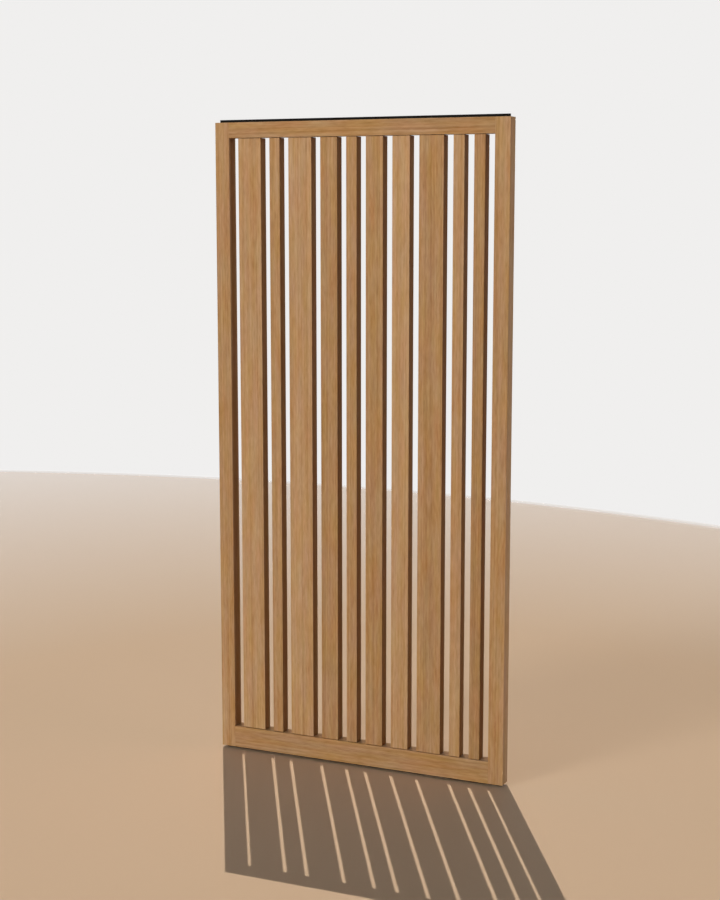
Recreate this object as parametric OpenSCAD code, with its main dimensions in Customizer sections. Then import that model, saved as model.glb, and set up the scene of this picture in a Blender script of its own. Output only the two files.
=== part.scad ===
// Rotating slat room divider.
// An oak frame stands between floor and ceiling on two black strips. Ten upright slats of three
// widths fill it, and each turns by itself on a steel pin at either end, in a flanged nylon bush.
// Millimetres. X runs along the panel, Y from front to back, Z up from the floor.
// The origin is on the floor, under the middle of the panel.

/* [Frame] */
// Height of the oak frame, without the black strips
frame_h = 2315; // [1800:5:2700]
// Depth of the frame, front to back
frame_d = 50; // [44:1:70]
// Width of the upright stiles
stile_w = 55; // [50:1:90]
// Height of the top rail
top_rail_h = 55; // [50:1:90]
// Height of the bottom rail, which carries the slats
bottom_rail_h = 80; // [50:1:120]
// Radius that eases the edges of the oak
edge_r = 1; // [0.5:0.5:3]

/* [Slats] */
// Order of the slats from the left: W wide, M medium, N narrow
slat_order = "WNWMNMMWNN"; // [WNWMNMMWNN, NNWMMNMWNW, MMMMMMMMMM, WNWNWNWNWN]
// Width of a wide slat
wide_w = 90; // [70:1:110]
// Width of a medium slat
medium_w = 65; // [50:1:80]
// Width of a narrow slat
narrow_w = 40; // [30:1:50]
// Thickness of every slat
slat_t = 40; // [25:1:44]
// Clear gap on each side of a slat
slat_gap = 35; // [25:1:60]

/* [Pivots] */
// Diameter of the steel pivot pins
pin_d = 8; // [6:0.5:12]
// Depth that each pin is glued into its slat
pin_seat = 40; // [25:1:60]
// Length of a bush inside its rail, which is also how far a pin stands out of its slat
bush_l = 20; // [14:1:24]
// Wall of a bush round its pin
bush_wall = 1.95; // [1:0.05:4]
// Width of the flange, outwards from the bush
flange_w = 3; // [1.5:0.5:6]
// Thickness of the flange: the slat's foot stands on the lower one
flange_t = 1; // [0.8:0.1:3]
// Play above the slat, under the upper flange
end_play = 0.5; // [0.3:0.1:1.5]

/* [Black strips] */
// Thickness of a strip, front to back
strip_t = 10; // [10:1:16]
// Height of strip that shows under or over the frame
strip_show = 10; // [4:1:25]
// Height of strip that stands in the frame's groove, less than shows, so that the frame can lift over it
strip_in = 8; // [6:1:13]
// Distance from the frame's outer side to the end of a strip
strip_inset = 10; // [4:1:30]
// Radius that eases the long edges of a strip
strip_edge_r = 0.5; // [0.2:0.1:0.9]
// Number of screw holes in a strip
screw_count = 4; // [2:1:8]
// Distance from the end of a strip to its first screw hole
screw_end = 40; // [20:1:120]
// Diameter of the screw holes
screw_d = 4.5; // [3:0.1:5.5]
// Diameter of the countersinks for the screw heads
screw_head_d = 8; // [6:0.1:9]

/* [Corner joints] */
// Diameter of the dowels
dowel_d = 10; // [6:1:12]
// Depth of a dowel in its stile
dowel_in_stile = 35; // [20:1:45]
// Depth of a dowel in its rail
dowel_in_rail = 45; // [25:1:60]
// Chamfer at the ends of the dowels, pins and bushes
lead_in = 0.8; // [0.2:0.1:1.5]

/* [Clearances] */
// Radial clearance between a pin and its bush
running_fit = 0.05; // [0.02:0.01:0.1]
// Radial clearance round a glued pin, bush or dowel
glue_fit = 0.05; // [0.02:0.01:0.1]
// Clearance between a strip and each side of its groove
groove_fit = 0.25; // [0.1:0.05:0.5]
// Clearance past the end of a dowel, bush or strip
end_fit = 1; // [0.5:0.1:2]

/* [Hidden] */
$fn = 64;
// Angle of each flat in an eased edge
ease_step = 30;
// Overrun of a cut past the face that it opens
cut = 1;

oak = "#AE845C";
black_paint = "#1D1C1B";
black_nylon = "#2A2A2B";
steel = "#B9BBBD";
beech = "#D2AE80";

// Slats: widths from their letters, and places from the widths before them
slat_count = len(slat_order);
function slat_w(i) = slat_order[i] == "W" ? wide_w : slat_order[i] == "M" ? medium_w : narrow_w;
function run_to(i) = i == 0 ? 0 : run_to(i - 1) + slat_w(i - 1) + slat_gap;
panel_w = 2 * stile_w + slat_gap + run_to(slat_count);
function slat_x(i) = -panel_w / 2 + stile_w + slat_gap + run_to(i) + slat_w(i) / 2;

// Heights, from the floor up
frame_z = strip_show;
frame_top = frame_z + frame_h;
bottom_rail_top = frame_z + bottom_rail_h;
top_rail_z = frame_top - top_rail_h;
slat_z = bottom_rail_top + flange_t;
slat_top = top_rail_z - flange_t - end_play;

// The frame: rails stand between the stiles
rail_l = panel_w - 2 * stile_w;
stile_x = (panel_w - stile_w) / 2;
dowel_y = (strip_t + frame_d) / 4;
dowel_l = dowel_in_stile + dowel_in_rail;

// Pivots
bush_bore = pin_d + 2 * running_fit;
bush_d = bush_bore + 2 * bush_wall;
flange_d = bush_d + 2 * flange_w;
pin_l = pin_seat + bush_l;

// Strips: the upper groove is deep enough to lift the frame off the floor strip
strip_l = panel_w - 2 * strip_inset;
strip_h = strip_show + strip_in;
groove_w = strip_t + 2 * groove_fit;
groove_l = strip_l + 2 * end_fit;
lift_groove = 2 * strip_in + end_fit;
screw_pitch = (strip_l - 2 * screw_end) / (screw_count - 1);
function screw_x(k) = -strip_l / 2 + screw_end + k * screw_pitch;

// Node names
function two_digits(n) = n < 10 ? str("0", n) : str(n);
function slat_name(i) = str("slat_", two_digits(i + 1));
function top_pin_name(i) = str(slat_name(i), "_top_pin");
function bottom_pin_name(i) = str(slat_name(i), "_bottom_pin");
all_slats = [0:slat_count - 1];

// A rectangle w by d round the origin, its corners eased with a few flats on a circle of radius r
function eased(w, d, r) = [
    for (corner = [[1, 1, 0], [-1, 1, 90], [-1, -1, 180], [1, -1, 270]], a = [0:ease_step:90])
        [corner[0] * (w / 2 - r) + r * cos(corner[2] + a), corner[1] * (d / 2 - r) + r * sin(corner[2] + a)]
];

// An upright board standing on z = 0, with all twelve edges eased
module upright_board(w, d, h) {
    intersection() {
        linear_extrude(h) polygon(eased(w, d, edge_r));
        translate([0, d / 2, h / 2]) rotate([90, 0, 0]) linear_extrude(d) polygon(eased(w, h, edge_r));
        translate([-w / 2, 0, h / 2]) rotate([90, 0, 90]) linear_extrude(w) polygon(eased(d, h, edge_r));
    }
}

// A level board or bar along X on z = 0, its long edges eased and its ends left square
module level_board(l, d, h, r) {
    translate([-l / 2, 0, h / 2]) rotate([90, 0, 90]) linear_extrude(l) polygon(eased(d, h, r));
}

// Puts its child on the axis of each slat at height z
module at_slats(z) {
    for (i = all_slats) translate([slat_x(i), 0, z]) children();
}

// The grooves along the foot and the head of the frame, which stop short of its outer sides
module strip_grooves() {
    translate([-groove_l / 2, -groove_w / 2, frame_z - cut]) cube([groove_l, groove_w, strip_in + cut]);
    translate([-groove_l / 2, -groove_w / 2, frame_top - lift_groove])
        cube([groove_l, groove_w, lift_groove + cut]);
}

// Puts its child at the rail's end of each dowel, lying outwards along z
module at_dowels() {
    heights = [frame_z + bottom_rail_h / 2, frame_top - top_rail_h / 2];
    for (side = [-1, 1], y = [-dowel_y, dowel_y], z = heights)
        translate([side * (rail_l / 2 - dowel_in_rail), y, z]) rotate([0, side * 90, 0]) children();
}

// The holes of all the dowels, with a glue space past each end
module dowel_holes() {
    at_dowels() translate([0, 0, -end_fit]) cylinder(d = dowel_d + 2 * glue_fit, h = dowel_l + 2 * end_fit);
}

// A rod standing on z = 0, chamfered at both ends
module rod(d, l) {
    cylinder(d1 = d - 2 * lead_in, d2 = d, h = lead_in);
    translate([0, 0, lead_in]) cylinder(d = d, h = l - 2 * lead_in);
    translate([0, 0, l - lead_in]) cylinder(d1 = d, d2 = d - 2 * lead_in, h = lead_in);
}

// A stile of the frame; side is -1 at the left and 1 at the right
module stile(side) {
    difference() {
        translate([side * stile_x, 0, frame_z]) upright_board(stile_w, frame_d, frame_h);
        strip_grooves();
        dowel_holes();
    }
}

// A rail of the frame of height h with its foot at z, and its bush holes starting at bore_z
module rail(z, h, bore_z) {
    difference() {
        translate([0, 0, z]) level_board(rail_l, frame_d, h, edge_r);
        strip_grooves();
        dowel_holes();
        at_slats(bore_z) cylinder(d = bush_d + 2 * glue_fit, h = bush_l + end_fit + cut);
    }
}

module left_stile() {
    color(oak) stile(-1);
}

module right_stile() {
    color(oak) stile(1);
}

module top_rail() {
    color(oak) rail(top_rail_z, top_rail_h, top_rail_z - cut);
}

module bottom_rail() {
    color(oak) rail(frame_z, bottom_rail_h, bottom_rail_top - bush_l - end_fit);
}

module corner_dowels() {
    color(beech) at_dowels() rod(dowel_d, dowel_l);
}

// A strip standing on z = 0, with its screw holes countersunk from the top
module strip() {
    sink_h = (screw_head_d - screw_d) / 2;
    difference() {
        level_board(strip_l, strip_t, strip_h, strip_edge_r);
        for (k = [0:screw_count - 1])
            translate([screw_x(k), 0, 0]) {
                translate([0, 0, -cut]) cylinder(d = screw_d, h = strip_h + 2 * cut);
                translate([0, 0, strip_h - sink_h]) cylinder(d1 = screw_d, d2 = screw_head_d, h = sink_h);
            }
    }
}

module floor_strip() {
    color(black_paint) strip();
}

module ceiling_strip() {
    color(black_paint) translate([0, 0, frame_top + strip_show]) mirror([0, 0, 1]) strip();
}

// A bush with its flange on z = 0 and its body going up
module bush() {
    difference() {
        union() {
            cylinder(d = bush_d, h = bush_l - lead_in);
            translate([0, 0, bush_l - lead_in]) cylinder(d1 = bush_d, d2 = bush_d - 2 * lead_in, h = lead_in);
            translate([0, 0, -flange_t]) cylinder(d = flange_d, h = flange_t);
        }
        translate([0, 0, -flange_t - cut]) cylinder(d = bush_bore, h = bush_l + flange_t + 2 * cut);
    }
}

module top_bushes() {
    color(black_nylon) at_slats(top_rail_z) bush();
}

module bottom_bushes() {
    color(black_nylon) at_slats(bottom_rail_top) mirror([0, 0, 1]) bush();
}

// Slat i, drilled at both ends for its pins
module slat(i) {
    color(oak) translate([slat_x(i), 0, slat_z]) difference() {
        upright_board(slat_w(i), slat_t, slat_top - slat_z);
        for (z = [-cut, slat_top - slat_z - pin_seat])
            translate([0, 0, z]) cylinder(d = pin_d + 2 * glue_fit, h = pin_seat + cut);
    }
}

// A pin of slat i, seated at the bottom of its hole and standing out into its bush
module top_pin(i) {
    color(steel) translate([slat_x(i), 0, slat_top - pin_seat]) rod(pin_d, pin_l);
}

module bottom_pin(i) {
    color(steel) translate([slat_x(i), 0, slat_z - bush_l]) rod(pin_d, pin_l);
}

left_stile();
right_stile();
top_rail();
bottom_rail();
corner_dowels();
floor_strip();
ceiling_strip();
top_bushes();
bottom_bushes();
for (i = all_slats) slat(i);
for (i = all_slats) top_pin(i);
for (i = all_slats) bottom_pin(i);
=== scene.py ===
# Rotating slat room divider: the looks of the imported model.
# Metres, in the CAD's frame: X along the panel, Y from front to back, Z up from the floor.
import math
import random

import bmesh
import bpy
from mathutils import Euler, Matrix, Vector

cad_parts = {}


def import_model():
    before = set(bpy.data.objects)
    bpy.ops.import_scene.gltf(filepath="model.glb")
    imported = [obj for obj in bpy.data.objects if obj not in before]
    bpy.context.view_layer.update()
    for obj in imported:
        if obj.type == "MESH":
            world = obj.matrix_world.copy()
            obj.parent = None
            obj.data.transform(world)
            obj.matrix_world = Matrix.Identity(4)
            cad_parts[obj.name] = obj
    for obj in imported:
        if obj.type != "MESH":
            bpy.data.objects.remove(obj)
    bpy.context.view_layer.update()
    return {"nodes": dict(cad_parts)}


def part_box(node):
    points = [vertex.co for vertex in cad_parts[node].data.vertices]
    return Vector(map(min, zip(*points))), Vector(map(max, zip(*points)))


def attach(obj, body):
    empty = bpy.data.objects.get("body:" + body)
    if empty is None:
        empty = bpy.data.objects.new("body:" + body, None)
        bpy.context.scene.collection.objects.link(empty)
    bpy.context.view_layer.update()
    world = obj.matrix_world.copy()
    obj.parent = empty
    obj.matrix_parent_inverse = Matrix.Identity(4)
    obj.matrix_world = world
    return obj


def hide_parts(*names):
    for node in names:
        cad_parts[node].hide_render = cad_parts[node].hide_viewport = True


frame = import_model()

MM = 0.001
SLATS = [f"slat_{n:02d}" for n in range(1, 11)]
STILES = ["left_stile", "right_stile"]
RAILS = ["top_rail", "bottom_rail"]

# Sizes that the dressed pieces share with the CAD
BOARD_EASE = 1.0 * MM
PIN_BORE = 8.1 * MM
PIN_HOLE_DEPTH = 40 * MM
# Straight sides that stand for a full round
ROUND_SIDES = 48


def linear(hex_colour):
    """An sRGB hex value as a linear colour."""
    parts = [int(hex_colour[i:i + 2], 16) / 255 for i in (1, 3, 5)]
    return [p / 12.92 if p <= 0.04045 else ((p + 0.055) / 1.055) ** 2.4 for p in parts] + [1.0]


def add(tree, kind, inputs=None, **settings):
    """Adds a node with its settings. An input is a value, a socket, or a node, which gives its first
    output. Inputs 1 to 4 of a Map Range are From Min, From Max, To Min and To Max, which are 0, 1, 0
    and 1 if left out, and inputs 6 and 7 of a colour Mix are its two colours."""
    made = tree.nodes.new(kind)
    for name, value in settings.items():
        setattr(made, name, value)
    for key, value in (inputs or {}).items():
        if isinstance(value, bpy.types.Node):
            value = value.outputs[0]
        if isinstance(value, bpy.types.NodeSocket):
            tree.links.new(value, made.inputs[key])
        else:
            made.inputs[key].default_value = value
    return made


def new_tree(name, kind, sockets):
    """An empty node group with these sockets, each given as (name, in or out, type)."""
    tree = bpy.data.node_groups.new(name, kind)
    for socket, side, socket_type in sockets:
        tree.interface.new_socket(socket, in_out=side, socket_type="NodeSocket" + socket_type)
    return tree


def new_material(name):
    """An empty material, and its tree, its texture coordinates and its shader."""
    material = bpy.data.materials.new(name)
    material.use_nodes = True
    tree = material.node_tree
    tree.nodes.clear()
    coordinates = add(tree, "ShaderNodeTexCoord")
    shader = add(tree, "ShaderNodeBsdfPrincipled")
    add(tree, "ShaderNodeOutputMaterial", {"Surface": shader})
    return material, tree, coordinates, shader


def dress(tree, shader, colour, roughness, bump=None):
    """Gives a shader its colour, its roughness and its bump, each from a socket."""
    for name, source in (("Base Color", colour), ("Roughness", roughness), ("Normal", bump)):
        if source is not None:
            tree.links.new(source, shader.inputs[name])


# ---- Oiled oak ---------------------------------------------------------------------------------

# Rift-sawn European oak, planed, sanded and oiled: a warm honey brown, low in contrast, with
# straight narrow year rings that run the length of the board, fine dark pores along them, a few
# slow clouds of darker wood, and a satin sheen that the pores break up.
OAK_DARK = linear("#8E663B")
OAK_MIDDLE = linear("#AC8359")
OAK_LIGHT = linear("#C29B73")
OAK_PORE = linear("#6E4C28")
OAK_END = linear("#80592F")
OAK_EDGE = linear("#BE9869")
# Some boards were sawn from paler logs, and some from darker ones. 1 is the light wood, -1 the dark.
OAK_TONES = {
    "slat_01": 0.25, "slat_03": 0.35, "slat_04": -0.15, "slat_06": -0.15, "slat_07": 0.35,
    "slat_08": -0.15, "slat_09": 0.2, "slat_10": -0.25, "top_rail": -0.2, "left_stile": 0.1,
    "right_stile": 0.05,
}
# Stretched noise in the wood: each part's width and length in mm, and its detail
OAK_NOISES = {
    "sway": (80, 900, 2.0),      # bends the year rings by a mm or two over a metre
    "streaks": (7, 2500, 1.0),   # as long as the board
    "strokes": (6, 42, 2.0),     # as long as a thumb
    "clouds": (30, 150, 2.0),    # as wide as a slat
    "fibres": (1.5, 90, 2.0),
    "pores": (1.1, 34, 1.0),     # real ones are 0.3 mm wide, too fine to show
    "drifts": (28, 180, 1.0),    # slow changes of hue and fullness over a board
}
# Width of a year ring, and how far the sway noise can push it, in mm
RING_SPACING = 3.2
RING_SWAY = 12.0


def oak_figure():
    """The figure of oak, as a group that every board shares. Board is in mm from the board's middle,
    with the grain along Z. Log is the same point in the tree, in mm from its pith."""
    tree = new_tree("oak_figure", "ShaderNodeTree", [
        ("Board", "INPUT", "Vector"), ("Log", "INPUT", "Vector"), ("Half", "INPUT", "Vector"),
        ("Along", "INPUT", "Float"), ("Tone", "INPUT", "Float"),
        ("Colour", "OUTPUT", "Color"), ("Roughness", "OUTPUT", "Float"), ("Height", "OUTPUT", "Float"),
    ])
    given = add(tree, "NodeGroupInput")
    board, log, half = (given.outputs[name] for name in ("Board", "Log", "Half"))

    noise = {}
    for part, (width, length, detail) in OAK_NOISES.items():
        point = add(tree, "ShaderNodeVectorMath", {0: log, 1: (1 / width, 1 / width, 1 / length)},
                    operation="MULTIPLY")
        noise[part] = add(tree, "ShaderNodeTexNoise", {"Vector": point, "Scale": 1.0, "Detail": detail})

    # Year rings round the pith, each stronger or weaker, and darkest where the spring wood starts
    flat = add(tree, "ShaderNodeVectorMath", {0: log, 1: (1, 1, 0)}, operation="MULTIPLY")
    radius = add(tree, "ShaderNodeVectorMath", {0: flat}, operation="LENGTH")
    swayed = add(tree, "ShaderNodeMath", {0: noise["sway"], 1: RING_SWAY, 2: radius.outputs["Value"]},
                 operation="MULTIPLY_ADD")
    ring = add(tree, "ShaderNodeMath", {0: swayed, 1: 1 / RING_SPACING}, operation="MULTIPLY")
    in_ring = add(tree, "ShaderNodeMath", {0: ring}, operation="FRACT")
    ring_number = add(tree, "ShaderNodeMath", {0: ring}, operation="FLOOR")
    strength = add(tree, "ShaderNodeTexWhiteNoise", {"W": ring_number}, noise_dimensions="1D")
    spring_wood = add(tree, "ShaderNodeMapRange", {0: in_ring, 1: 0.0, 2: 0.55, 3: 1.0, 4: 0.0},
                      interpolation_type="SMOOTHSTEP")
    rings = add(tree, "ShaderNodeMath", {0: spring_wood, 1: strength.outputs["Value"]}, operation="MULTIPLY")

    # Pores are drawn 1 mm wide and up to 40 mm long so that they show. Most lie in the spring wood.
    pore_lines = add(tree, "ShaderNodeMapRange", {0: noise["pores"], 1: 0.60, 2: 0.72},
                     interpolation_type="SMOOTHSTEP")
    pore_share = add(tree, "ShaderNodeMapRange", {0: spring_wood, 3: 0.25, 4: 1.0})
    pores = add(tree, "ShaderNodeMath", {0: pore_lines, 1: pore_share}, operation="MULTIPLY")

    # Light and dark wood: each part swings evenly about the tone of the board
    wood = given.outputs["Tone"]
    for part, swing, middle in (
        (noise["streaks"], 1.6, 0.5), (noise["strokes"], 1.4, 0.5), (noise["clouds"], 0.6, 0.5),
        (noise["fibres"], 0.4, 0.5), (rings, -0.3, 0.2),
    ):
        centred = add(tree, "ShaderNodeMath", {0: part, 1: middle}, operation="SUBTRACT")
        wood = add(tree, "ShaderNodeMath", {0: centred, 1: swing, 2: wood}, operation="MULTIPLY_ADD")
    darker = add(tree, "ShaderNodeMapRange", {0: wood, 1: 0.0, 2: -1.0})
    lighter = add(tree, "ShaderNodeMapRange", {0: wood, 1: 0.0, 2: 1.0})
    colour = add(tree, "ShaderNodeMix", {0: darker, 6: OAK_MIDDLE, 7: OAK_DARK}, data_type="RGBA")
    colour = add(tree, "ShaderNodeMix", {0: lighter, 6: colour.outputs[2], 7: OAK_LIGHT}, data_type="RGBA")

    # Slight drifts between a pinker and a yellower brown, and between a duller and a fuller one
    drifts = add(tree, "ShaderNodeSeparateColor", {0: noise["drifts"].outputs["Color"]})
    hue = add(tree, "ShaderNodeMapRange", {0: drifts.outputs[0], 1: 0.3, 2: 0.7, 3: 0.495, 4: 0.506})
    fullness = add(tree, "ShaderNodeMapRange", {0: drifts.outputs[1], 1: 0.3, 2: 0.7, 3: 0.94, 4: 1.06})
    colour = add(tree, "ShaderNodeHueSaturation", {
        "Hue": hue, "Saturation": fullness, "Color": colour.outputs[2],
    })
    pore_tint = add(tree, "ShaderNodeMath", {0: pores, 1: 0.5}, operation="MULTIPLY")
    colour = add(tree, "ShaderNodeMix", {0: pore_tint, 6: colour, 7: OAK_PORE}, data_type="RGBA")

    # Sawn ends drink more oil, so they are darker
    end_tint = add(tree, "ShaderNodeMapRange", {0: given.outputs["Along"], 1: 0.75, 2: 0.98, 4: 0.75})
    colour = add(tree, "ShaderNodeMix", {0: end_tint, 6: colour.outputs[2], 7: OAK_END}, data_type="RGBA")

    # Eased edges are rubbed a little paler: the second nearest face is within 1 mm there
    depth = add(tree, "ShaderNodeVectorMath", {0: board}, operation="ABSOLUTE")
    depth = add(tree, "ShaderNodeVectorMath", {0: depth, 1: half}, operation="SUBTRACT")
    depth = add(tree, "ShaderNodeSeparateXYZ", {0: depth})
    x, y, z = depth.outputs
    near_xy = add(tree, "ShaderNodeMath", {0: x, 1: y}, operation="MAXIMUM")
    far_xy = add(tree, "ShaderNodeMath", {0: x, 1: y}, operation="MINIMUM")
    second = add(tree, "ShaderNodeMath", {0: near_xy, 1: z}, operation="MINIMUM")
    second = add(tree, "ShaderNodeMath", {0: second, 1: far_xy}, operation="MAXIMUM")
    edge = add(tree, "ShaderNodeMapRange", {0: second, 1: -1.2, 2: -0.3, 4: 0.5})
    edge = add(tree, "ShaderNodeMath", {0: edge, 1: noise["fibres"]}, operation="MULTIPLY")
    colour = add(tree, "ShaderNodeMix", {0: edge, 6: colour.outputs[2], 7: OAK_EDGE}, data_type="RGBA")

    # The oil's sheen: satin on the dense wood, duller in the pores and the spring wood
    roughness = add(tree, "ShaderNodeMath", {0: rings, 1: 0.06, 2: 0.58}, operation="MULTIPLY_ADD")
    roughness = add(tree, "ShaderNodeMath", {0: pores, 1: 0.2, 2: roughness}, operation="MULTIPLY_ADD")
    # The pores are hollow, and the fibres stand up a little
    height = add(tree, "ShaderNodeMath", {0: pores, 1: -1.0, 2: 1.0}, operation="MULTIPLY_ADD")
    height = add(tree, "ShaderNodeMath", {0: noise["fibres"], 1: 0.25, 2: height}, operation="MULTIPLY_ADD")
    add(tree, "NodeGroupOutput", {"Colour": colour.outputs[2], "Roughness": roughness, "Height": height})
    return tree


def oiled_oak(figure, name, number):
    """The oak of one board. Its grain runs along the longer of its sides, and its number seeds where
    in the log it was sawn."""
    low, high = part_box(name)
    middle, size = (low + high) / 2, high - low
    level = size.x > size.z
    turn = Euler((0, -math.pi / 2 if level else 0, 0))
    half = Vector((size.z, size.y, size.x) if level else size) / 2
    if level:
        # A rail's ends butt against the stiles, so their edges aren't rubbed
        half.z += 10 * MM
    draw = random.Random(number)
    tilt = Euler([math.radians(draw.uniform(-0.3, 0.3)) for _ in "xy"] + [0])
    # Where the board was sawn: 90 to 150 mm from the pith each way, and anywhere along the log
    pith = Vector((
        draw.uniform(90, 150), draw.choice((-1, 1)) * draw.uniform(90, 150), draw.uniform(-3000, 3000),
    ))

    material, tree, coordinates, shader = new_material(f"oiled_oak_{name}")
    board = add(tree, "ShaderNodeMapping", {
        "Vector": coordinates.outputs["Object"], "Location": -(turn.to_matrix() @ middle) / MM,
        "Rotation": turn, "Scale": (1 / MM,) * 3,
    })
    log = add(tree, "ShaderNodeMapping", {"Vector": board, "Location": pith, "Rotation": tilt})
    grain_axis = (1, 0, 0) if level else (0, 0, 1)
    along = add(tree, "ShaderNodeVectorMath", {0: coordinates.outputs["Normal"], 1: grain_axis},
                operation="DOT_PRODUCT")
    along = add(tree, "ShaderNodeMath", {0: along.outputs["Value"]}, operation="ABSOLUTE")
    wood = add(tree, "ShaderNodeGroup", {}, node_tree=figure)
    for socket, value in (("Board", board), ("Log", log), ("Along", along)):
        tree.links.new(value.outputs[0], wood.inputs[socket])
    wood.inputs["Half"].default_value = half / MM
    wood.inputs["Tone"].default_value = OAK_TONES.get(name, 0.0) + draw.uniform(-0.06, 0.06)
    bump = add(tree, "ShaderNodeBump", {
        "Height": wood.outputs["Height"], "Distance": 0.15 * MM, "Strength": 0.5,
    })
    shader.inputs["IOR"].default_value = 1.45
    shader.inputs["Specular IOR Level"].default_value = 0.1
    dress(tree, shader, wood.outputs["Colour"], wood.outputs["Roughness"], bump.outputs[0])
    return material


# ---- Black strips, pivots and dowels -----------------------------------------------------------

def black_powder_coat():
    """Matt black powder coat, sprayed and baked on flat bar: no highlight line, only a soft bloom
    broken by the fine orange peel of the coat."""
    material, tree, coordinates, shader = new_material("matt_black_powder_coat")
    in_mm = add(tree, "ShaderNodeMapping", {"Vector": coordinates.outputs["Object"], "Scale": (1 / MM,) * 3})
    # Real peel is about 0.8 mm across, drawn at 1.6 mm. The coat clouds over some 60 mm.
    peel = add(tree, "ShaderNodeTexNoise", {"Vector": in_mm, "Scale": 1 / 1.6, "Detail": 1.0})
    cloud = add(tree, "ShaderNodeTexNoise", {"Vector": in_mm, "Scale": 1 / 60, "Detail": 2.0})
    tone = add(tree, "ShaderNodeMix", {0: cloud, 6: linear("#0F0D0B"), 7: linear("#161311")},
               data_type="RGBA")
    dull = add(tree, "ShaderNodeMapRange", {0: peel, 3: 0.62, 4: 0.78})
    bump = add(tree, "ShaderNodeBump", {"Height": peel, "Distance": 0.1 * MM, "Strength": 0.35})
    shader.inputs["Specular IOR Level"].default_value = 0.05
    dress(tree, shader, tone.outputs[2], dull.outputs[0], bump.outputs[0])
    return material


def moulded_nylon():
    """Black nylon, injection moulded: dark grey with a waxy sheen, a little duller where the mould
    was spark eroded."""
    material, tree, coordinates, shader = new_material("moulded_black_nylon")
    in_mm = add(tree, "ShaderNodeMapping", {"Vector": coordinates.outputs["Object"], "Scale": (1 / MM,) * 3})
    # Spark erosion leaves pits about 0.2 mm across, drawn at 0.6 mm
    pits = add(tree, "ShaderNodeTexNoise", {"Vector": in_mm, "Scale": 1 / 0.6, "Detail": 1.0})
    tone = add(tree, "ShaderNodeMix", {0: pits, 6: linear("#262627"), 7: linear("#2F2F31")},
               data_type="RGBA")
    dull = add(tree, "ShaderNodeMapRange", {0: pits, 3: 0.38, 4: 0.54})
    bump = add(tree, "ShaderNodeBump", {"Height": pits, "Distance": 0.05 * MM, "Strength": 0.3})
    dress(tree, shader, tone.outputs[2], dull.outputs[0], bump.outputs[0])
    return material


def ground_steel():
    """Bright steel rod, centreless ground: a sharp grey shine, drawn out sideways by the rings that
    the grinding wheel left."""
    material, tree, coordinates, shader = new_material("ground_bright_steel")
    shader.inputs["Metallic"].default_value = 1.0
    # Grinding rings are under 0.1 mm apart, drawn at 0.4 mm
    rings_at = add(tree, "ShaderNodeMapping", {
        "Vector": coordinates.outputs["Object"], "Scale": (1 / (6 * MM), 1 / (6 * MM), 1 / (0.4 * MM)),
    })
    rings = add(tree, "ShaderNodeTexNoise", {"Vector": rings_at, "Scale": 1.0, "Detail": 2.0})
    tone = add(tree, "ShaderNodeMix", {0: rings, 6: linear("#B2B4B6"), 7: linear("#C2C4C6")},
               data_type="RGBA")
    dull = add(tree, "ShaderNodeMapRange", {0: rings, 3: 0.2, 4: 0.36})
    bump = add(tree, "ShaderNodeBump", {"Height": rings, "Distance": 0.01 * MM, "Strength": 0.3})
    dress(tree, shader, tone.outputs[2], dull.outputs[0], bump.outputs[0])
    return material


def turned_beech():
    """Beech dowel rod, left bare: pale pinkish brown with short dark flecks along the grain."""
    material, tree, coordinates, shader = new_material("bare_turned_beech")
    # The flecks are 0.5 mm wide and 4 mm long, along the dowels, which lie along X
    fleck_at = add(tree, "ShaderNodeMapping", {
        "Vector": coordinates.outputs["Object"], "Scale": (1 / (4 * MM), 1 / (0.5 * MM), 1 / (0.5 * MM)),
    })
    flecks = add(tree, "ShaderNodeTexNoise", {"Vector": fleck_at, "Scale": 1.0, "Detail": 1.0})
    spots = add(tree, "ShaderNodeMapRange", {0: flecks, 1: 0.55, 2: 0.72}, interpolation_type="SMOOTHSTEP")
    tone = add(tree, "ShaderNodeMix", {0: spots, 6: linear("#D2AE80"), 7: linear("#B58B5C")},
               data_type="RGBA")
    dull = add(tree, "ShaderNodeMapRange", {0: spots, 3: 0.6, 4: 0.72})
    dress(tree, shader, tone.outputs[2], dull.outputs[0])
    return material


# ---- Shapes ------------------------------------------------------------------------------------

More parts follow.
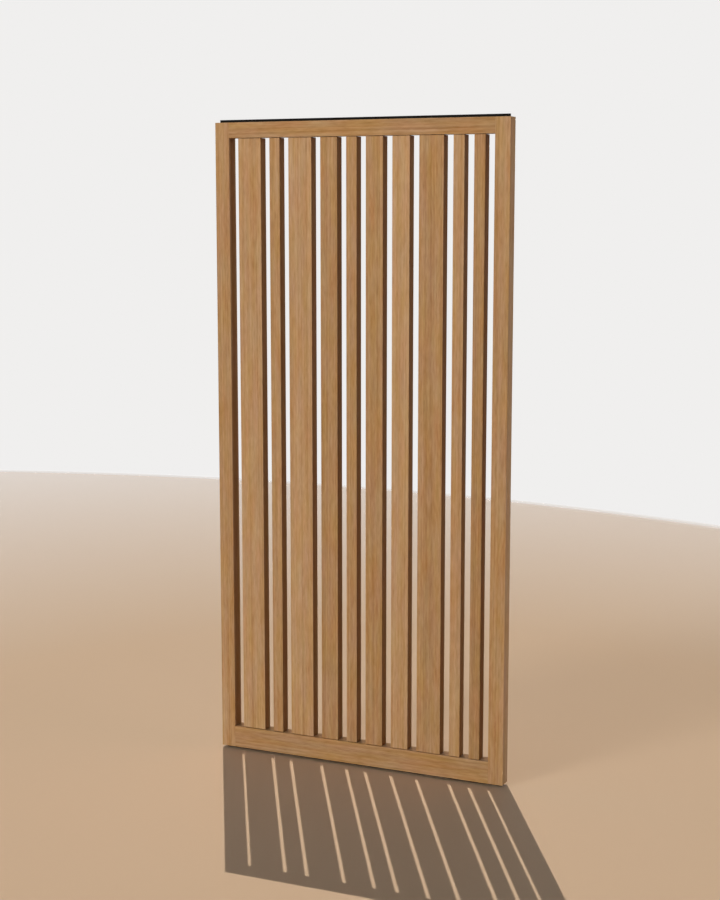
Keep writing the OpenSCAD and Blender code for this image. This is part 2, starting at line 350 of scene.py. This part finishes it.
def eased_board():
    """Geometry Nodes for an upright board with all twelve edges rounded, drilled at both ends for its
    pins. A cube of 7 x 7 x 7 cells has its outer three cells each way drawn into the edge, and pushed
    out onto a round of radius Ease."""
    tree = new_tree("eased_board", "GeometryNodeTree", [
        ("Geometry", "OUTPUT", "Geometry"), ("Size", "INPUT", "Vector"), ("Middle", "INPUT", "Vector"),
        ("Ease", "INPUT", "Float"), ("Hole", "INPUT", "Float"), ("Hole depth", "INPUT", "Float"),
        ("Wood", "INPUT", "Material"),
    ])
    given = add(tree, "NodeGroupInput")
    size, middle, ease, wood = (given.outputs[name] for name in ("Size", "Middle", "Ease", "Wood"))
    cells = 7
    cube = add(tree, "GeometryNodeMeshCube", {
        "Size": (1, 1, 1), "Vertices X": cells + 1, "Vertices Y": cells + 1, "Vertices Z": cells + 1,
    })
    position = add(tree, "GeometryNodeInputPosition")
    side = add(tree, "ShaderNodeVectorMath", {0: position}, operation="SIGN")
    out = add(tree, "ShaderNodeVectorMath", {0: position}, operation="ABSOLUTE")
    # 0 at the start of the round and an eighth of a turn at the middle of the edge, in even steps
    span = 2 * cells / (cells - 1) * math.pi / 4
    out = add(tree, "ShaderNodeVectorMath", {0: out, 1: (span,) * 3, 2: (-span / (2 * cells),) * 3},
              operation="MULTIPLY_ADD")
    out = add(tree, "ShaderNodeVectorMath", {0: out}, operation="TANGENT")
    out = add(tree, "ShaderNodeVectorMath", {0: out}, operation="NORMALIZE")
    radii = add(tree, "ShaderNodeCombineXYZ", {0: ease, 1: ease, 2: ease})
    inner = add(tree, "ShaderNodeVectorMath", {0: size, 1: (0.5,) * 3}, operation="MULTIPLY")
    inner = add(tree, "ShaderNodeVectorMath", {0: inner, 1: radii}, operation="SUBTRACT")
    corner = add(tree, "ShaderNodeVectorMath", {0: out, 1: radii, 2: inner}, operation="MULTIPLY_ADD")
    place = add(tree, "ShaderNodeVectorMath", {0: corner, 1: side, 2: middle}, operation="MULTIPLY_ADD")
    board = add(tree, "GeometryNodeSetPosition", {"Geometry": cube, "Position": place})

    # The drill is twice as long as its hole, and centred on the end of the board
    radius = add(tree, "ShaderNodeMath", {0: given.outputs["Hole"], 1: 0.5}, operation="MULTIPLY")
    length = add(tree, "ShaderNodeMath", {0: given.outputs["Hole depth"], 1: 2.0}, operation="MULTIPLY")
    drill = add(tree, "GeometryNodeMeshCylinder", {"Vertices": ROUND_SIDES, "Radius": radius, "Depth": length})
    for end in (-0.5, 0.5):
        start = add(tree, "ShaderNodeVectorMath", {0: size, 1: (0, 0, end), 2: middle},
                    operation="MULTIPLY_ADD")
        placed = add(tree, "GeometryNodeTransform", {"Geometry": drill, "Translation": start})
        board = add(tree, "GeometryNodeMeshBoolean", {"Mesh 1": board, "Mesh 2": placed},
                    operation="DIFFERENCE", solver="EXACT")

    # The rounds are smooth and the six faces stay flat
    facing = add(tree, "GeometryNodeInputNormal")
    facing = add(tree, "ShaderNodeVectorMath", {0: facing}, operation="ABSOLUTE")
    facing = add(tree, "ShaderNodeSeparateXYZ", {0: facing})
    most = add(tree, "ShaderNodeMath", {0: facing.outputs[0], 1: facing.outputs[1]}, operation="MAXIMUM")
    most = add(tree, "ShaderNodeMath", {0: most, 1: facing.outputs[2]}, operation="MAXIMUM")
    is_round = add(tree, "ShaderNodeMath", {0: most, 1: 0.9999}, operation="LESS_THAN")
    board = add(tree, "GeometryNodeSetShadeSmooth", {"Geometry": board, "Shade Smooth": is_round})
    board = add(tree, "GeometryNodeRealizeInstances", {"Geometry": board})
    board = add(tree, "GeometryNodeSetMaterial", {"Geometry": board, "Material": wood})
    add(tree, "NodeGroupOutput", {"Geometry": board})
    return tree


def bush_row():
    """Geometry Nodes for a row of flanged bushes, one on each vertex of the mesh. The profile is
    turned on a grid: its columns go round the profile, and its rows round the axis."""
    tree = new_tree("bush_row", "GeometryNodeTree", [
        ("Geometry", "OUTPUT", "Geometry"), ("Geometry", "INPUT", "Geometry"), ("Bore", "INPUT", "Float"),
        ("Body", "INPUT", "Float"), ("Flange", "INPUT", "Float"), ("Flange thickness", "INPUT", "Float"),
        ("Length", "INPUT", "Float"), ("Lead-in", "INPUT", "Float"), ("Ease", "INPUT", "Float"),
        ("Turn", "INPUT", "Vector"), ("Plastic", "INPUT", "Material"),
    ])
    given = add(tree, "NodeGroupInput")
    ease, thick = given.outputs["Ease"], given.outputs["Flange thickness"]
    bore, body, flange = (
        add(tree, "ShaderNodeMath", {0: given.outputs[name], 1: 0.5}, operation="MULTIPLY")
        for name in ("Bore", "Body", "Flange")
    )
    mouth = add(tree, "ShaderNodeMath", {0: bore, 1: ease}, operation="ADD")
    rim = add(tree, "ShaderNodeMath", {0: flange, 1: ease}, operation="SUBTRACT")
    tip = add(tree, "ShaderNodeMath", {0: body, 1: given.outputs["Lead-in"]}, operation="SUBTRACT")
    below_top = add(tree, "ShaderNodeMath", {0: thick, 1: ease}, operation="SUBTRACT")
    foot = add(tree, "ShaderNodeMath", {0: given.outputs["Length"], 1: -1.0}, operation="MULTIPLY")
    above_foot = add(tree, "ShaderNodeMath", {0: foot, 1: ease}, operation="ADD")
    tip_top = add(tree, "ShaderNodeMath", {0: foot, 1: given.outputs["Lead-in"]}, operation="ADD")
    # Radius and height of each corner, from the foot of the bore up, out and back again
    profile = [
        (bore, above_foot), (bore, below_top), (mouth, thick), (rim, thick), (flange, below_top),
        (flange, 0.0), (body, 0.0), (body, tip_top), (tip, foot), (mouth, foot), (bore, above_foot),
    ]
    points_round = ROUND_SIDES + 1
    grid = add(tree, "GeometryNodeMeshGrid", {"Vertices X": len(profile), "Vertices Y": points_round})
    index = add(tree, "GeometryNodeInputIndex")
    column = add(tree, "ShaderNodeMath", {0: index, 1: points_round}, operation="DIVIDE")
    column = add(tree, "ShaderNodeMath", {0: column}, operation="FLOOR")
    row = add(tree, "ShaderNodeMath", {0: index, 1: points_round}, operation="MODULO")
    angle = add(tree, "ShaderNodeMath", {0: row, 1: 2 * math.pi / ROUND_SIDES}, operation="MULTIPLY")
    picks = []
    for part in (0, 1):
        pick = add(tree, "GeometryNodeIndexSwitch", {"Index": column}, data_type="FLOAT")
        while len(pick.index_switch_items) < len(profile):
            pick.index_switch_items.new()
        for slot, corner in enumerate(profile, start=1):
            value = corner[part]
            if isinstance(value, bpy.types.Node):
                value = value.outputs[0]
            if isinstance(value, float):
                pick.inputs[slot].default_value = value
            else:
                tree.links.new(value, pick.inputs[slot])
        picks.append(pick)
    across = add(tree, "ShaderNodeMath", {0: angle}, operation="COSINE")
    across = add(tree, "ShaderNodeMath", {0: across, 1: picks[0]}, operation="MULTIPLY")
    back = add(tree, "ShaderNodeMath", {0: angle}, operation="SINE")
    back = add(tree, "ShaderNodeMath", {0: back, 1: picks[0]}, operation="MULTIPLY")
    place = add(tree, "ShaderNodeCombineXYZ", {0: across, 1: back, 2: picks[1]})
    bush = add(tree, "GeometryNodeSetPosition", {"Geometry": grid, "Position": place})
    # The grid's first and last rows and columns meet, and are closed
    bush = add(tree, "GeometryNodeMergeByDistance", {"Geometry": bush, "Distance": 0.001 * MM})
    bush = add(tree, "GeometryNodeSetShadeSmooth", {"Geometry": bush, "Shade Smooth": True})
    angle_at_edge = add(tree, "GeometryNodeInputMeshEdgeAngle")
    sharp = add(tree, "ShaderNodeMath", {0: angle_at_edge, 1: math.radians(30)}, operation="GREATER_THAN")
    bush = add(tree, "GeometryNodeSetShadeSmooth", {
        "Geometry": bush, "Selection": sharp, "Shade Smooth": False,
    }, domain="EDGE")
    bushes = add(tree, "GeometryNodeInstanceOnPoints", {
        "Points": given.outputs["Geometry"], "Instance": bush, "Rotation": given.outputs["Turn"],
    })
    bushes = add(tree, "GeometryNodeRealizeInstances", {"Geometry": bushes})
    bushes = add(tree, "GeometryNodeSetMaterial", {"Geometry": bushes, "Material": given.outputs["Plastic"]})
    add(tree, "NodeGroupOutput", {"Geometry": bushes})
    return tree


def grow(name, tree, values, points=()):
    """A piece whose plain mesh comes from a Geometry Nodes tree with these named values."""
    start = bpy.data.meshes.new(name + "_start")
    start.from_pydata([tuple(p) for p in points], [], [])
    piece = bpy.data.objects.new(name, start)
    bpy.context.scene.collection.objects.link(piece)
    modifier = piece.modifiers.new(tree.name, "NODES")
    modifier.node_group = tree
    for socket in tree.interface.items_tree:
        if socket.in_out == "INPUT" and socket.name in values:
            modifier[socket.identifier] = values[socket.name]
    depsgraph = bpy.context.evaluated_depsgraph_get()
    mesh = bpy.data.meshes.new_from_object(piece.evaluated_get(depsgraph), depsgraph=depsgraph)
    piece.modifiers.remove(modifier)
    piece.data = mesh
    mesh.name = name
    bpy.data.meshes.remove(start)
    return piece


# ---- The pieces --------------------------------------------------------------------------------

figure = oak_figure()
for number, name in enumerate(STILES + RAILS, start=21):
    frame["nodes"][name].data.materials[0] = oiled_oak(figure, name, number)

board_tree = eased_board()
for number, name in enumerate(SLATS, start=1):
    low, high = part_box(name)
    slat = grow("oak_" + name, board_tree, {
        "Size": high - low, "Middle": (low + high) / 2, "Ease": BOARD_EASE, "Hole": PIN_BORE,
        "Hole depth": PIN_HOLE_DEPTH, "Wood": oiled_oak(figure, name, number),
    })
    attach(slat, name)
    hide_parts(name)

axes = [(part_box(name)[0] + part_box(name)[1]) / 2 for name in SLATS]
bush_tree = bush_row()
bush = {
    "Bore": PIN_BORE, "Body": 12 * MM, "Flange": 18 * MM, "Flange thickness": 1.0 * MM, "Length": 20 * MM,
    "Lead-in": 0.8 * MM, "Ease": 0.2 * MM, "Plastic": moulded_nylon(),
}
for name, node, height, turn in (
    ("upper_bush_row", "top_bushes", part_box("top_rail")[0].z, (math.pi, 0, 0)),
    ("lower_bush_row", "bottom_bushes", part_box("bottom_rail")[1].z, (0, 0, 0)),
):
    row = grow(name, bush_tree, {**bush, "Turn": turn}, [(axis.x, axis.y, height) for axis in axes])
    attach(row, "frame")
    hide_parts(node)

for material, names in (
    (black_powder_coat(), ["floor_strip", "ceiling_strip"]),
    (turned_beech(), ["corner_dowels"]),
    (ground_steel(), [f"{slat}_{end}_pin" for slat in SLATS for end in ("top", "bottom")]),
):
    for name in names:
        frame["nodes"][name].data.materials[0] = material


# ---- Stage, light and camera -------------------------------------------------------------------

BACKDROP = linear("#F0EFEE")
# The fill light's colour and level together, as linear values
FILL = [0.041, 0.048, 0.038, 1.0]
FLOOR = linear("#C9AF96")
# The floor throws this much less light up between the slats than it shows, which keeps their sides dark
FLOOR_HELD_BACK = 0.35


def floor():
    """A plain pale matt floor that ends softly. Away from the divider it pales into the backdrop: painted
    light, a brightening that stands for more light on the far floor.
    """
    radius, middle, fade = 9.0, Vector((-2.55, -3.35, 0.0)), 0.25
    far_light_from, far_light_to = 2.0, 11.5
    mesh = bmesh.new()
    bmesh.ops.create_circle(mesh, cap_ends=True, segments=180, radius=radius)
    bmesh.ops.translate(mesh, verts=mesh.verts, vec=middle)
    data = bpy.data.meshes.new("floor")
    mesh.to_mesh(data)
    mesh.free()
    disc = bpy.data.objects.new("floor", data)
    bpy.context.scene.collection.objects.link(disc)
    material, tree, coordinates, shader = new_material("pale_matt_floor")
    shader.inputs["Base Color"].default_value = FLOOR
    shader.inputs["Roughness"].default_value = 0.6
    shader.inputs["Specular IOR Level"].default_value = 0.15
    point = coordinates.outputs["Object"]
    reach = add(tree, "ShaderNodeVectorMath", {0: point, 1: middle}, operation="DISTANCE")
    ending = add(tree, "ShaderNodeMapRange", {0: reach.outputs["Value"], 1: radius - fade, 2: radius})
    away = add(tree, "ShaderNodeVectorMath", {0: point}, operation="LENGTH")
    # Painted light: away from the divider the floor pales into the backdrop, as if the far floor were more
    # brightly lit
    painted_far_light = add(tree, "ShaderNodeMapRange", {0: away.outputs["Value"], 1: far_light_from, 2: far_light_to})
    fading = add(tree, "ShaderNodeMath", {0: ending, 1: painted_far_light}, operation="MAXIMUM")
    ray = add(tree, "ShaderNodeLightPath")
    held_back = add(tree, "ShaderNodeMath", {0: ray.outputs["Is Diffuse Ray"], 1: FLOOR_HELD_BACK},
                    operation="MULTIPLY")
    fading = add(tree, "ShaderNodeMath", {0: fading, 1: held_back}, operation="MAXIMUM")
    clear = add(tree, "ShaderNodeBsdfTransparent")
    surface = add(tree, "ShaderNodeMixShader", {0: fading, 1: shader, 2: clear})
    output = next(node for node in tree.nodes if node.type == "OUTPUT_MATERIAL")
    tree.links.new(surface.outputs[0], output.inputs["Surface"])
    data.materials.append(material)
    return disc


def world():
    """An even surround: a pale backdrop for the eye and for reflections, and a dimmer fill light."""
    surround = bpy.data.worlds.new("pale_surround")
    surround.use_nodes = True
    tree = surround.node_tree
    tree.nodes.clear()
    ray = add(tree, "ShaderNodeLightPath")
    seen = add(tree, "ShaderNodeMath", {0: ray.outputs["Is Camera Ray"], 1: ray.outputs["Is Glossy Ray"]},
               operation="MAXIMUM")
    seen = add(tree, "ShaderNodeMath", {0: seen, 1: ray.outputs["Is Transmission Ray"]}, operation="MAXIMUM")
    colour = add(tree, "ShaderNodeMix", {0: seen, 6: FILL, 7: BACKDROP}, data_type="RGBA")
    shader = add(tree, "ShaderNodeBackground", {"Color": colour.outputs[2], "Strength": 1.0})
    add(tree, "ShaderNodeOutputWorld", {"Surface": shader})
    bpy.context.scene.world = surround


def far_lamp(name, bearing, height, spread, strength, colour, only=None, but=None):
    """Even light from far away. It comes from a bearing, clockwise from +Y, and a height over the
    floor, and its spread says how soft its shadows are, all in degrees. It lights everything, only
    one object, or everything but one object."""
    lamp = bpy.data.lights.new(name, "SUN")
    lamp.energy, lamp.angle, lamp.color = strength, math.radians(spread), colour[:3]
    holder = bpy.data.objects.new(name, lamp)
    if only or but:
        linked = bpy.data.collections.new(name + "_link")
        linked.objects.link(only or but)
        linked.collection_objects[0].light_linking.link_state = "INCLUDE" if only else "EXCLUDE"
        holder.light_linking.receiver_collection = linked
    bearing, height = math.radians(bearing), math.radians(height)
    level = math.cos(height)
    towards = Vector((math.sin(bearing) * level, math.cos(bearing) * level, math.sin(height)))
    holder.rotation_euler = towards.to_track_quat("Z", "Y").to_euler()
    bpy.context.scene.collection.objects.link(holder)


def softbox(name, middle, aim, width, depth, power):
    """A soft box near the divider, whose light fades down the boards. The camera doesn't see it."""
    lamp = bpy.data.lights.new(name, "AREA")
    lamp.shape, lamp.size, lamp.size_y, lamp.energy = "RECTANGLE", width, depth, power
    holder = bpy.data.objects.new(name, lamp)
    holder.location = middle
    holder.rotation_euler = (Vector(aim) - Vector(middle)).to_track_quat("-Z", "Y").to_euler()
    holder.visible_camera = False
    bpy.context.scene.collection.objects.link(holder)


plain_floor = floor()
world()
softbox("overhead_softbox", middle=(0.0, -1.2, 3.2), aim=(0.0, 0.0, 2.0), width=1.6, depth=0.8, power=5.2)
# High light from behind casts the sharp stripes on the floor. It is stronger on the floor than on the
# divider, so that the bottom rail's top stays dark in the gaps. Lamps are linked to the floor alone:
# with the divider's pieces linked too, the render's noise would change from run to run.
high_light = {"bearing": -29.2, "height": 62.5, "spread": 0.15, "colour": linear("#FFF5E6")}
far_lamp("high_light", strength=0.75, **high_light)
far_lamp("high_light_on_floor", strength=1.55, only=plain_floor, **high_light)
far_lamp("front_fill", bearing=-155, height=9, spread=20, strength=2.41, colour=linear("#FFFDF8"))
far_lamp("side_fill", bearing=90, height=4, spread=20, strength=1.45, colour=linear("#E6ECFF"))
far_lamp("back_fill", bearing=-4, height=4, spread=8, strength=1.4, colour=linear("#FFFAF0"), but=plain_floor)

# The camera stands before the divider, to its right, and looks down a little. Angles in degrees.
look_down, look_round = 8.29, 24.25
lens = bpy.data.cameras.new("camera")
lens.lens, lens.sensor_width = 67.18, 36
camera = bpy.data.objects.new("camera", lens)
camera.location = (2.435, -5.407, 2.032)
camera.rotation_euler = (math.radians(90 - look_down), 0, math.radians(look_round))
bpy.context.scene.collection.objects.link(camera)
bpy.context.scene.camera = camera
bpy.context.scene.view_settings.view_transform = "Standard"
